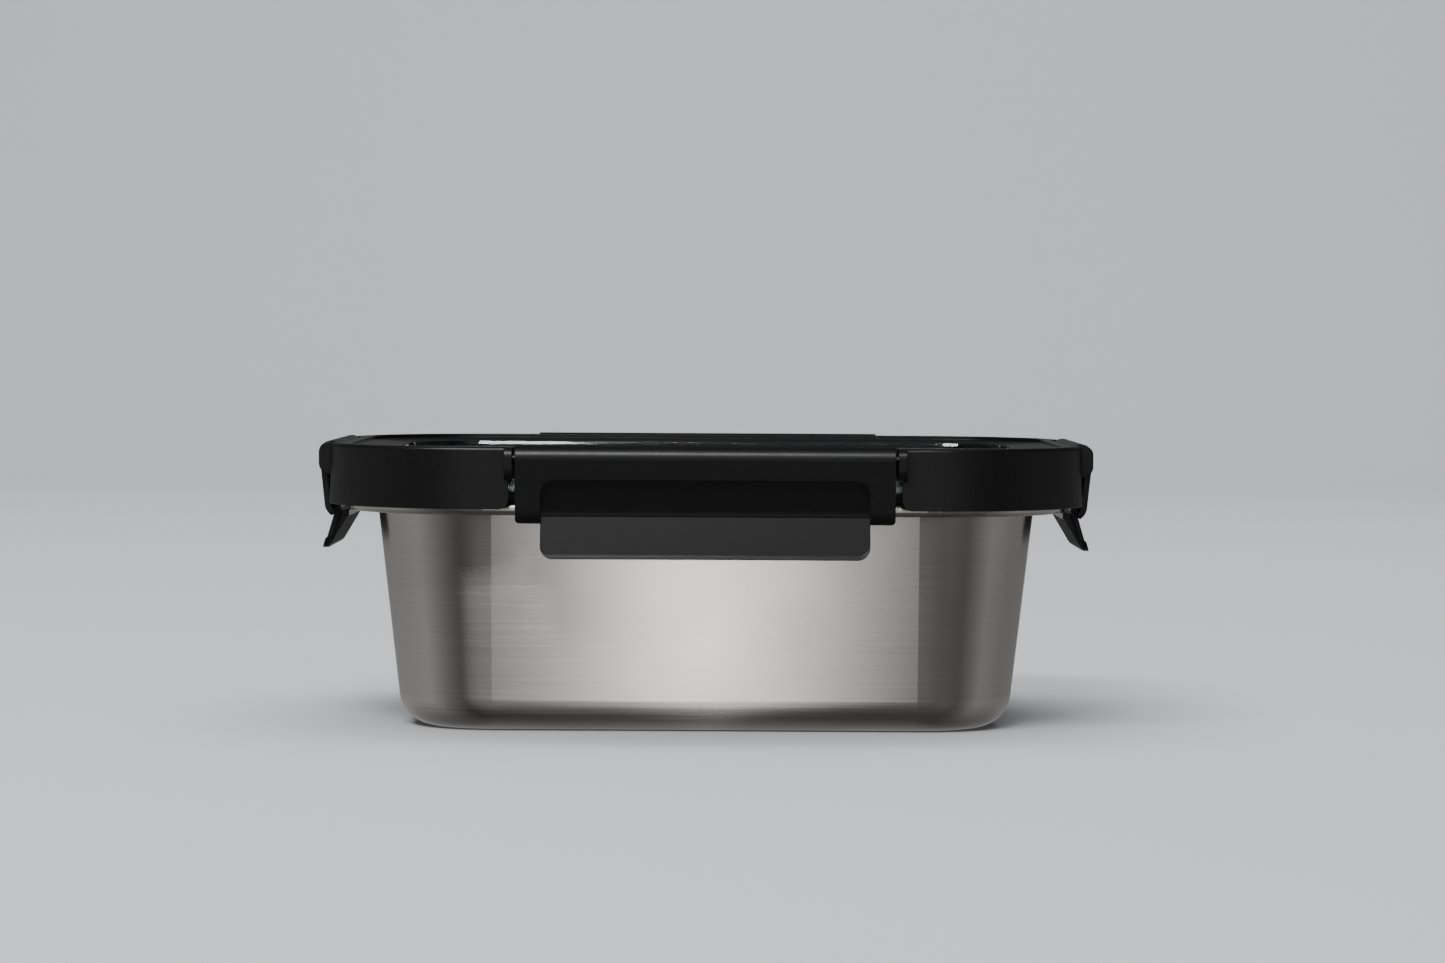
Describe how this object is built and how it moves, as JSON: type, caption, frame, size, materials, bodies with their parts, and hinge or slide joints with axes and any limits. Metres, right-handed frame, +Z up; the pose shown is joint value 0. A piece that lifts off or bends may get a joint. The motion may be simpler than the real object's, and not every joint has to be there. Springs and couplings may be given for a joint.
{
  "type": "stainless steel lunch box with a latching lid",
  "caption": "Rectangular brushed steel food box with a black clip-down lid, a clear window, a silicone seal and hinged side latches.",
  "frame": {"origin": "bottom centre of the closed box, on the surface it stands on", "axes": "+X along the long side, the front long side faces -Y, +Z up"},
  "size_m": [0.1974, 0.1434, 0.0723],
  "materials": {
    "brushed_steel": "brushed along the box, satin",
    "black_plastic": "fine spark texture, satin",
    "clear_plastic": "polished clear",
    "silicone": "matt, soft",
    "pin_steel": "black oxide over drawn wire"
  },
  "bodies": {
    "tub": {"steel_tub": "brushed_steel"},
    "lid": {"lid_frame": "black_plastic", "lid_window": "clear_plastic", "lid_gasket": "silicone", "hinge_pin_front": "pin_steel", "hinge_pin_rear": "pin_steel", "hinge_pin_left": "pin_steel", "hinge_pin_right": "pin_steel"},
    "front_latch": {"latch_front": "black_plastic"},
    "rear_latch": {"latch_rear": "black_plastic"},
    "left_latch": {"latch_left": "black_plastic"},
    "right_latch": {"latch_right": "black_plastic"}
  },
  "joints": [
    {"name": "lid_lift", "type": "slide", "parent": "tub", "child": "lid", "axis": [0, 0, 1], "range_m": [0, 0.08]},
    {"name": "front_latch_swing", "type": "hinge", "parent": "lid", "child": "front_latch", "pos_m": [0, -0.0686, 0.0692], "axis": [-1, 0, 0], "range_deg": [-7, 105]},
    {"name": "rear_latch_swing", "type": "hinge", "parent": "lid", "child": "rear_latch", "pos_m": [0, 0.0686, 0.0692], "axis": [1, 0, 0], "range_deg": [-7, 105]},
    {"name": "left_latch_swing", "type": "hinge", "parent": "lid", "child": "left_latch", "pos_m": [-0.0956, 0, 0.0692], "axis": [0, 1, 0], "range_deg": [-7, 105]},
    {"name": "right_latch_swing", "type": "hinge", "parent": "lid", "child": "right_latch", "pos_m": [0.0956, 0, 0.0692], "axis": [0, -1, 0], "range_deg": [-7, 105]}
  ]
}
